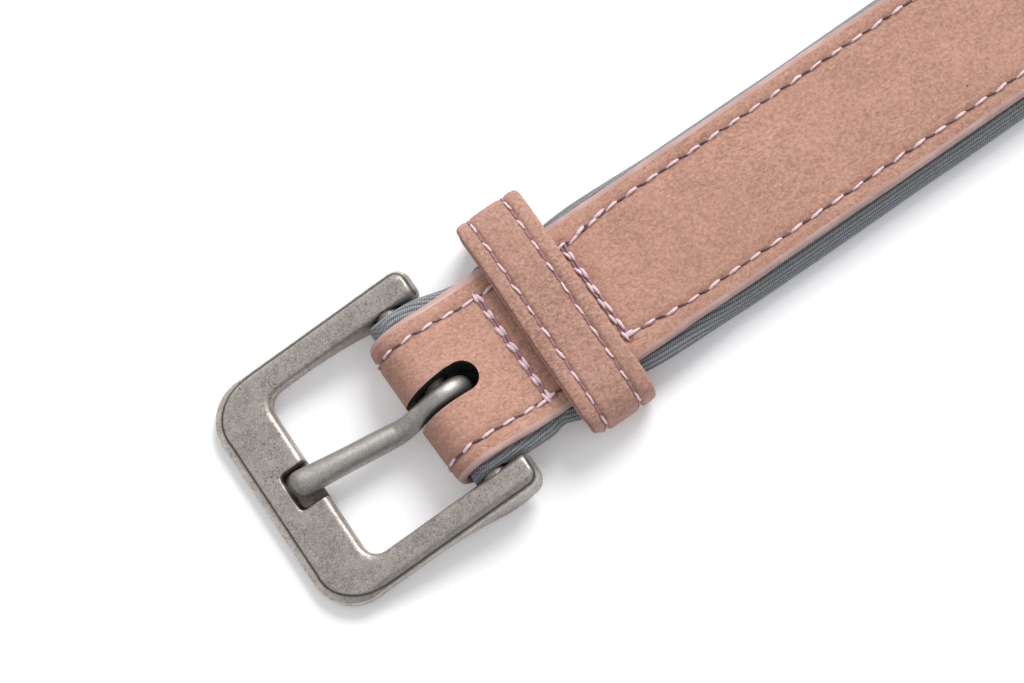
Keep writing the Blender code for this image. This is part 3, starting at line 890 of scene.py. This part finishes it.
def make_frame():
    """The cast frame with softened edges and a dark crease line round its outer shoulder; the notch floor
    is darkened with painted shade and a band on the outer shoulder is lightened with a painted reflection.
    """
    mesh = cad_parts["buckle_frame"].data.copy()
    obj = add_object("frame_casting", mesh)
    bm = bmesh.new()
    bm.from_mesh(mesh)
    bmesh.ops.remove_doubles(bm, verts=bm.verts, dist=0.00001)
    bm.to_mesh(mesh)
    bm.free()
    mesh.materials.clear()
    mesh.materials.append(MAT_FRAME)
    remesh = obj.modifiers.new("skin", "REMESH")
    remesh.mode = "VOXEL"
    remesh.voxel_size = VOXEL * MM
    smooth = obj.modifiers.new("soften", "SMOOTH")
    smooth.factor = 0.5
    smooth.iterations = SOFTENING
    apply_modifiers(obj)
    mesh = obj.data
    if not mesh.materials:
        mesh.materials.append(MAT_FRAME)
    inverse = FRAME_PLACE.inverted()
    turn = FRAME_PLACE.to_3x3()
    lines_and_notch_shade = []
    sheen_band = []
    calm = []
    for vert in mesh.vertices:
        own = inverse @ (vert.co / MM)
        depth = rim_depth(own.x, own.y)
        from_notch = abs(own.y - NOTCH_Y)
        line = 0.0
        if own.z > 0.2:
            line = bell(depth, blend(1.42, 0.5, (own.x + FRAME_FRONT - 3.0) / 7.0), 0.17)
        # the outer shoulder band is lightened as a painted reflection
        sheen_band.append(0.42 * bell(depth, 0.6, 0.6) if own.z > -2.0 else 0.0)
        # the notch floor is darkened as painted shade
        in_notch = -27.6 < own.x < NOTCH_BACK_X and from_notch < 3.45 and own.z < FRAME_TOP - 0.35
        lines_and_notch_shade.append(min(1.0, line + (0.5 if in_notch else 0.0)))
        by_notch = -28.6 < own.x < NOTCH_BACK_X and from_notch < 4.4
        calm.append(0.25 if by_notch else 1.0)
        shift = turn @ Vector((0.0, 0.0, -0.09 * line))
        if own.x > 0:
            shift += turn @ Vector((own.x * EAR_STRETCH, 0.0, 0.0))
        shift += turn @ corner_push(own)
        vert.co += shift * MM
    bend = edge_bend(mesh)
    # wear on rounded edges away from the notch, plus the painted-reflection band
    wear_and_sheen = [min(0.8, w + 0.6 * c * ramp_value(b, 0.002, 0.009)) for w, b, c in zip(sheen_band, bend, calm)]
    creases_and_shade = [min(1.0, line + 0.6 * ramp_value(-b, 0.003, 0.012)) for line, b in zip(lines_and_notch_shade, bend)]
    store(mesh, {"crease_and_shade": creases_and_shade, "wear_and_sheen": wear_and_sheen})
    mesh.shade_smooth()
    return obj


def ramp_value(value, low, high):
    return ease((value - low) / (high - low))


def edge_bend(mesh):
    """How sharply the surface turns at each vertex in millimetres: positive on rounded edges."""
    count = len(mesh.vertices)
    at = [v.co.copy() for v in mesh.vertices]
    up = [v.normal.copy() for v in mesh.vertices]
    near = [[] for _ in range(count)]
    for edge in mesh.edges:
        a, b = edge.vertices
        near[a].append(b)
        near[b].append(a)
    bend = []
    for i in range(count):
        total = sum((at[i] - at[k]).dot(up[i]) for k in near[i])
        bend.append(total / max(len(near[i]), 1) / MM)
    for _pass in range(4):
        bend = [(bend[i] + sum(bend[k] for k in near[i])) / (len(near[i]) + 1) for i in range(count)]
    return bend


def prong_route():
    """The prong's centre line as (x, y, z, tilt, half width, half height)."""
    notch = FRAME_PLACE.to_3x3() @ Vector((9.4 - FRAME_FRONT, 0, 0.7))
    tip_z = PIN_Z + notch.z + GAP + blend(1.6, PRONG_HALF, 0.55)
    top_z = PIN_Z + PIN_R + GAP + EYE_HALF
    low_z = PIN_Z - 1.5
    shank_x = PRONG_TIP_X + PRONG_NOSE
    line = []
    for i in range(17):
        share = i / 16
        round_off = sqrt(max(0.0, 1 - (1 - share) ** 2))
        line.append((PRONG_TIP_X + PRONG_NOSE * share ** 1.5, tip_z, max(round_off, 0.1)))
    for i in range(1, 31):
        x = shank_x + (PRONG_BEND_X - shank_x) * i / 30
        line.append((x, tip_z + (low_z - tip_z) * i / 30, 1.0))
    for i in range(1, 41):
        x = PRONG_BEND_X + (-0.5 - PRONG_BEND_X) * i / 40
        line.append((x, low_z + (top_z - low_z) * ease(i / 40), 1.0))
    heights = [z for _x, z, _size in line]
    for _pass in range(12):
        heights[17:-2] = [sum(heights[i - 1:i + 2]) / 3 for i in range(17, len(heights) - 2)]
    route = []
    for i, (x, _z, size) in enumerate(line):
        z = heights[i]
        a = max(i - 1, 0)
        b = min(i + 1, len(line) - 1)
        tilt = atan2(heights[b] - heights[a], line[b][0] - line[a][0])
        lean = 0.117 * (-9.6 - min(x, -6.5))
        tall = blend(1.6, PRONG_HALF, (x - PRONG_TIP_X) / 9.0)
        tall = blend(tall, EYE_HALF, (x + 10.0) / 8.5)
        wide = blend(PRONG_HALF, EYE_WIDE, (x + 12.0) / 9.0)
        wide = blend(2.2, wide, (x - PRONG_TIP_X) / 11.0)
        route.append((x, lean, z, tilt, wide * size, tall * size))
    for i in range(1, 71):
        share = i / 70
        angle = radians(EYE_TURN * share)
        thick = blend(EYE_HALF, 1.3, share * 1.35)
        radius = PIN_R + GAP + thick
        a = pi / 2 - angle
        end = sqrt(max(0.0, 1 - (max(share - 0.96, 0.0) / 0.043) ** 2))
        off = blend(-0.36, -0.2, share / 0.3)
        route.append((radius * cos(a), off, PIN_Z + radius * sin(a), -angle,
                      EYE_WIDE * end, thick * end))
    return route


def make_prong():
    rings = []
    darker_tip_and_eye = []
    turns = [2 * pi * i / 40 for i in range(40)]
    for x, y, z, tilt, wide, tall in prong_route():
        section = [(wide * cos(a), tall * sin(a)) for a in turns]
        rings.append([(x - n * sin(tilt), y + side, z + n * cos(tilt)) for side, n in section])
        # darker round the tip and round the back of the eye
        darker_tip_and_eye += [0.35 * bell(x, -26.0, 1.0) + 0.25 * bell(x, 3.5, 1.5)] * len(turns)
    marks_and_shade = [0.0] * len(darker_tip_and_eye)
    return skin_mesh("prong_rod", rings, [MAT_PRONG], masks={"crease_and_shade": darker_tip_and_eye, "wear_and_sheen": marks_and_shade})


# stitching

def stitch_tree():
    """Geometry nodes that lay a pale stitch and a darker dip by turns along a guide line; the dip's darker
    finish is painted shade of the thread diving into its hole.
    """
    tree = bpy.data.node_groups.new("stitch_row", "GeometryNodeTree")
    new = partial(add_node, tree)
    maths = partial(calc, tree)
    sizes = (("Pitch", STITCH_PITCH * MM), ("Stitch length", 2.5 * MM), ("Dip length", 1.7 * MM),
             ("Thread", 0.255 * MM), ("Dip thread", 0.215 * MM), ("Rise", 0.2 * MM),
             ("Slant", 0.12), ("Dip slant", -0.14), ("Wobble", 0.09), ("Fray", 0.42 * MM), ("Seed", 3))
    face = tree.interface
    face.new_socket("Guide", in_out="INPUT", socket_type="NodeSocketGeometry")
    for label, value in sizes:
        kind = "NodeSocketInt" if label == "Seed" else "NodeSocketFloat"
        face.new_socket(label, in_out="INPUT", socket_type=kind).default_value = value
    for label in ("Thread finish", "Dip shade finish"):
        face.new_socket(label, in_out="INPUT", socket_type="NodeSocketMaterial")
    face.new_socket("Stitches", in_out="OUTPUT", socket_type="NodeSocketGeometry")
    start = new("NodeGroupInput")
    end = tree.nodes.new("NodeGroupOutput")

    def vector(x=0.0, y=0.0, z=0.0):
        return new("ShaderNodeCombineXYZ", {0: x, 1: y, 2: z})[0]

    def mark(name, geometry, value):
        inputs = {"Geometry": geometry, "Name": name, "Value": value}
        return new("GeometryNodeStoreNamedAttribute", inputs, data_type="FLOAT", domain="POINT")[0]

    def named(name, kind):
        return new("GeometryNodeInputNamedAttribute", {"Name": name}, data_type=kind)["Attribute"]

    def strand(length, thread, rise, drop, kind):
        """One length of thread along X, arched by `rise` and sinking by `drop` times that at its ends."""
        half = maths("MULTIPLY", length, 0.5)
        ends = {"Start": vector(x=maths("MULTIPLY", half, -1.0)), "End": vector(x=half)}
        line = new("GeometryNodeCurvePrimitiveLine", ends)[0]
        fine = new("GeometryNodeResampleCurve", {"Curve": line, "Count": 9})[0]
        along = new("ShaderNodeSeparateXYZ", {0: new("GeometryNodeInputPosition")[0]})["X"]
        share = maths("POWER", maths("ABSOLUTE", maths("DIVIDE", along, half)), 2.2)
        lift = maths("MULTIPLY", rise, maths("SUBTRACT", 1.0, maths("MULTIPLY", share, drop)))
        # the share toward each end, where painted shade darkens the thread as it dives
        arch = {"Geometry": mark("dip", fine, share), "Offset": vector(z=lift)}
        arch = new("GeometryNodeSetPosition", arch)[0]
        thin = maths("SUBTRACT", 1.0, maths("MULTIPLY", share, 0.5))
        taper = new("GeometryNodeSetCurveRadius", {"Curve": arch, "Radius": thin})[0]
        circle = new("GeometryNodeCurvePrimitiveCircle", {"Resolution": 8, "Radius": thread})[0]
        tube = {"Curve": taper, "Profile Curve": circle, "Fill Caps": True,
                "Scale": new("GeometryNodeInputRadius")[0]}
        return mark("kind", new("GeometryNodeCurveToMesh", tube)[0], kind)

    path = new("GeometryNodeMeshToCurve", {"Mesh": start["Guide"]})[0]
    step = {"Curve": path, "Length": maths("MULTIPLY", start["Pitch"], 0.5)}
    spaced = new("GeometryNodeResampleCurve", step, mode="LENGTH")[0]
    points = new("GeometryNodeCurveToPoints", {"Curve": spaced}, mode="EVALUATED")
    aim = new("FunctionNodeAlignRotationToVector", {"Vector": points["Tangent"]}, axis="X")[0]
    stand = new("FunctionNodeAlignRotationToVector",
                {"Rotation": aim, "Vector": named("facing", "FLOAT_VECTOR")}, axis="Z", pivot_axis="X")[0]
    odd = maths("MODULO", new("GeometryNodeInputIndex")[0], 2.0)
    even = maths("SUBTRACT", 1.0, odd)

    def chance(low, high, seed_step):
        inputs = {2: low, 3: high, "Seed": maths("ADD", start["Seed"], seed_step)}
        return new("FunctionNodeRandomValue", inputs, data_type="FLOAT")[1]

    def lay(piece, chosen, slant, seed_step):
        """Put a piece on every second point, turned by its slant and a small random wobble."""
        shake = chance(maths("MULTIPLY", start["Wobble"], -1.0), start["Wobble"], seed_step)
        grow = chance(0.88, 1.1, seed_step + 7.0)
        turn = new("FunctionNodeEulerToRotation", {0: vector(z=maths("ADD", slant, shake))})[0]
        turn = new("FunctionNodeRotateRotation", {"Rotation": stand, "Rotate By": turn},
                   rotation_space="LOCAL")[0]
        return new("GeometryNodeInstanceOnPoints",
                   {"Points": points["Points"], "Selection": chosen, "Instance": piece,
                    "Rotation": turn, "Scale": vector(grow, 1.0, 1.0)})[0]

    stitch = strand(start["Stitch length"], start["Thread"], start["Rise"], 1.9, 0.0)
    low = maths("MULTIPLY", start["Rise"], -0.25)
    dip = strand(start["Dip length"], start["Dip thread"], low, 0.2, 1.0)
    both = tree.nodes.new("GeometryNodeJoinGeometry")
    tree.links.new(lay(stitch, even, start["Slant"], 0.0), both.inputs[0])
    tree.links.new(lay(dip, odd, start["Dip slant"], 3.0), both.inputs[0])
    real = new("GeometryNodeRealizeInstances", {0: both.outputs[0]})[0]
    cloud = new("ShaderNodeTexNoise", {"Scale": 900, "Detail": 1.0})["Color"]
    centred = new("ShaderNodeVectorMath", {0: cloud, 1: (0.5, 0.5, 0.5)}, operation="SUBTRACT")[0]
    shift = new("ShaderNodeVectorMath", {0: centred, "Scale": start["Fray"]}, operation="SCALE")[0]
    frayed = new("GeometryNodeSetPosition", {"Geometry": real, "Offset": shift})[0]
    smooth = new("GeometryNodeSetShadeSmooth", {0: frayed})[0]
    pale = {"Geometry": smooth, "Material": start["Thread finish"]}
    dyed = {"Geometry": new("GeometryNodeSetMaterial", pale)[0], "Material": start["Dip shade finish"],
            "Selection": maths("GREATER_THAN", named("kind", "FLOAT"), 0.5)}
    tree.links.new(new("GeometryNodeSetMaterial", dyed)[0], end.inputs[0])
    return tree


STITCHES = stitch_tree()


def sew(name, rows, seed, dip_shade_finish, **sizes):
    """Turn rows of (point, facing) pairs, in millimetres, into stitches with the stitch_row tree."""
    verts = []
    edges = []
    facings = []
    for row in rows:
        first = len(verts)
        for point, facing in row:
            verts.append(place(*point))
            facings += list(facing)
        edges += [(i, i + 1) for i in range(first, len(verts) - 1)]
    mesh = bpy.data.meshes.new(name)
    mesh.from_pydata(verts, edges, [])
    layer = mesh.attributes.new("facing", "FLOAT_VECTOR", "POINT")
    layer.data.foreach_set("vector", facings)
    obj = add_object(name, mesh)
    mod = obj.modifiers.new("stitches", "NODES")
    mod.node_group = STITCHES
    values = {"Seed": seed, "Thread finish": MAT_THREAD, "Dip shade finish": dip_shade_finish}
    values.update({label.replace("_", " "): value for label, value in sizes.items()})
    for item in STITCHES.interface.items_tree:
        if item.in_out == "INPUT" and item.name in values:
            mod[item.identifier] = values[item.name]
    obj.update_tag()
    apply_modifiers(obj)
    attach(obj, "strap")


def on_leather(x, y, lift, aside=0.0):
    """A guide point over the strap's upper face, and the way it faces."""
    n, _deep = leather_face(y, tip_half(x), x, True)
    return (x + aside, y, leather_top_z(x) + n + lift), (0.0, 0.0, 1.0)


def strap_rows():
    """One guide line: up one side from the fold's underside, round the tip and back down."""
    straight = []
    for x, z, tilt in strap_route():
        upper = cos(tilt) > 0
        if x > TIP_X - TIP_LENGTH - 0.5 or (not upper and z < PIN_Z - 2.6):
            continue
        y = TIP_ROW_B - (row_nip(x) if upper else 0.0)
        n, _deep = leather_face(y, LEATHER_W / 2, x, upper)
        n += 0.1
        facing = (-sin(tilt), 0.0, cos(tilt))
        straight.append((x + n * facing[0], y, z + n * facing[2], facing))
    row = [((x, y, z), facing) for x, y, z, facing in straight]
    for i in range(61):
        angle = radians(90 - 3 * i)
        x = TIP_X - TIP_LENGTH + TIP_ROW_A * abs(cos(angle)) ** (2 / TIP_POWER)
        y = TIP_ROW_B * copysign(abs(sin(angle)) ** (2 / TIP_POWER), sin(angle))
        row.append(on_leather(x, y, 0.1))
    row += [((x, -y, z), facing) for x, y, z, facing in reversed(straight)]
    return [row]


def back_tacks():
    """Short second runs of thread where the long rows start and end beside the keeper."""
    rows = []
    for side, low, high in ((1, 27.6, 35.4), (-1, 26.9, 31.5), (-1, 11.6, 13.4)):
        stops = [low + (high - low) * i / 12 for i in range(13)]
        rows.append([on_leather(x, side * (TIP_ROW_B + 0.25 - row_nip(x)), 0.16) for x in stops])
    return rows


def cross_row(x, reach, aside):
    """One of the two threads of a cross row, laid beside the row's own line."""
    return [on_leather(x, reach - 2 * reach * i / 24, 0.14, aside) for i in range(25)]


def keeper_row(offset):
    row = []
    n = keeper_face(offset, KEEPER_W / 2 - KEEPER_T / 2, 1.0) + 0.1
    for y, z, out_y, out_z, _length in keeper_line():
        if z < KEEPER_TOP * 0.2:
            continue
        x = KEEPER_X + KEEPER_SLID + KEEPER_SKEW * y + offset
        row.append(((x, KEEPER_SHIFT + y + n * out_y, z + n * out_z), (0.0, out_y, out_z)))
    first = max(range(len(row)), key=lambda i: dist(row[i][0], row[i - 1][0]))
    return row[first:] + row[:first]


# build and place every piece

strap = make_strap()
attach(strap, "strap")
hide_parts("strap_leather_fold", "strap_leather", "strap_leather_tip")

pad = make_padding()
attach(pad, "strap")
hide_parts("padding_fold", "padding")

keeper = make_keeper()
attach(keeper, "strap")
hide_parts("keeper")

casting = make_frame()
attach(casting, "buckle")
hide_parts("buckle_frame")

prong = make_prong()
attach(prong, "tongue")
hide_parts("prong")

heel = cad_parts["heel_bar"]
for holder in heel.material_slots:
    holder.material = MAT_BAR

cross = [cross_row(ROW_1_X, 9.5, -CROSS_TWIN), cross_row(ROW_2_X, 8.4, -CROSS_TWIN)]
cross_twins = [cross_row(ROW_1_X, 9.2, CROSS_TWIN), cross_row(ROW_2_X, 8.1, CROSS_TWIN)]
heavy = {"Pitch": 3.0 * MM, "Stitch length": 2.15 * MM, "Dip length": 1.9 * MM, "Thread": 0.31 * MM,
         "Dip thread": 0.27 * MM, "Rise": 0.24 * MM, "Wobble": 0.13}
sew("long_stitches", strap_rows(), 5, MAT_PLUM_SHADE, Pitch=STITCH_PITCH * MM)
sew("back_tacks", back_tacks(), 9, MAT_MAUVE_SHADE, Pitch=3.3 * MM, Thread=0.3 * MM, Dip_thread=0.26 * MM)
sew("cross_stitches", cross, 8, MAT_MAUVE_SHADE, **heavy)
sew("cross_stitch_twins", cross_twins, 21, MAT_MAUVE_SHADE, **heavy)
sew("keeper_stitches", [keeper_row(KEEPER_ROWS), keeper_row(-KEEPER_ROWS)], 11, MAT_MAUVE_SHADE,
    Pitch=4.0 * MM, Stitch_length=2.4 * MM, Dip_length=2.2 * MM, Thread=0.22 * MM,
    Dip_thread=0.21 * MM, Rise=0.14 * MM, Slant=0.08, Dip_slant=-0.06)


# floor, light and camera

def make_floor():
    size = 4.0
    mesh = bpy.data.meshes.new("floor")
    corners = [(-size, -size), (size, -size), (size, size), (-size, size)]
    mesh.from_pydata([(x, y, -0.00002) for x, y in corners], [], [(0, 1, 2, 3)])
    obj = add_object("floor", mesh)
    mat, _tree, _shader = new_material("white_floor", {
        "Base Color": (0.93, 0.93, 0.94), "Emission Color": (0.97, 0.97, 1.0),
        "Emission Strength": 0.13, "Roughness": 0.9, "Specular IOR Level": 0.0})
    mesh.materials.append(mat)


def add_softbox():
    light = bpy.data.lights.new("softbox", "SUN")
    light.energy = 2.72
    light.angle = radians(33.0)
    light.color = (1.0, 0.995, 0.985)
    obj = add_object("softbox", light)
    obj.location = Vector((0.8, 0.55, 0.82))
    obj.rotation_euler = obj.location.to_track_quat("Z", "Y").to_euler()


def light_scene():
    """A broad softbox high on the far side, in a room that is darker on the near side."""
    world = bpy.data.worlds.new("studio")
    world.use_nodes = True
    bpy.context.scene.world = world
    tree = world.node_tree
    back = tree.nodes["Background"]
    back.inputs["Color"].default_value = (0.985, 0.99, 1.0, 1.0)
    toward = add_node(tree, "ShaderNodeTexCoord")["Generated"]
    parts = add_node(tree, "ShaderNodeSeparateXYZ", {0: toward})
    side = calc(tree, "ADD", parts["Y"], times(tree, parts["Z"], 1.6))
    tree.links.new(ramp(tree, side, -0.62, 0.6, 0.06, 0.72), back.inputs["Strength"])
    add_softbox()


CAMERA_RISE = radians(75.72)
CAMERA_TURN = radians(-18.45)
CAMERA_ROLL = radians(16.45)
CAMERA_FAR = 815.5
PIXELS_PER_MM = 6.56
SENSOR = 36.0
PHOTO_W = 1024
PHOTO_H = 683
BAR_AT = (446.48, 407.13)


def aim_camera():
    """Stand the camera where the photograph's was: the point under the bar falls on BAR_AT."""
    e = CAMERA_RISE
    a = CAMERA_TURN
    back = Vector((sin(a) * cos(e), -cos(a) * cos(e), sin(e)))
    right = Vector((cos(a), sin(a), 0.0))
    up = back.cross(right)
    c = cos(CAMERA_ROLL)
    s = sin(CAMERA_ROLL)
    image_x = right * c - up * s
    image_y = right * s + up * c
    off_x = (BAR_AT[0] - PHOTO_W / 2) / PIXELS_PER_MM
    off_y = -(BAR_AT[1] - PHOTO_H / 2) / PIXELS_PER_MM
    spot = Vector((BAR_X, BAR_Y, 0.0)) - image_x * off_x - image_y * off_y + back * CAMERA_FAR
    camera = bpy.data.cameras.new("camera")
    camera.sensor_width = SENSOR
    camera.lens = PIXELS_PER_MM * CAMERA_FAR * SENSOR / PHOTO_W
    camera.clip_start = 0.01
    camera.clip_end = 50
    obj = add_object("camera", camera)
    turn = Matrix((image_x, image_y, back)).transposed().to_4x4()
    obj.matrix_world = Matrix.Translation(spot * MM) @ turn
    bpy.context.scene.camera = obj


make_floor()
light_scene()
aim_camera()
bpy.context.scene.view_settings.view_transform = "Standard"
bpy.context.scene.view_settings.look = "None"
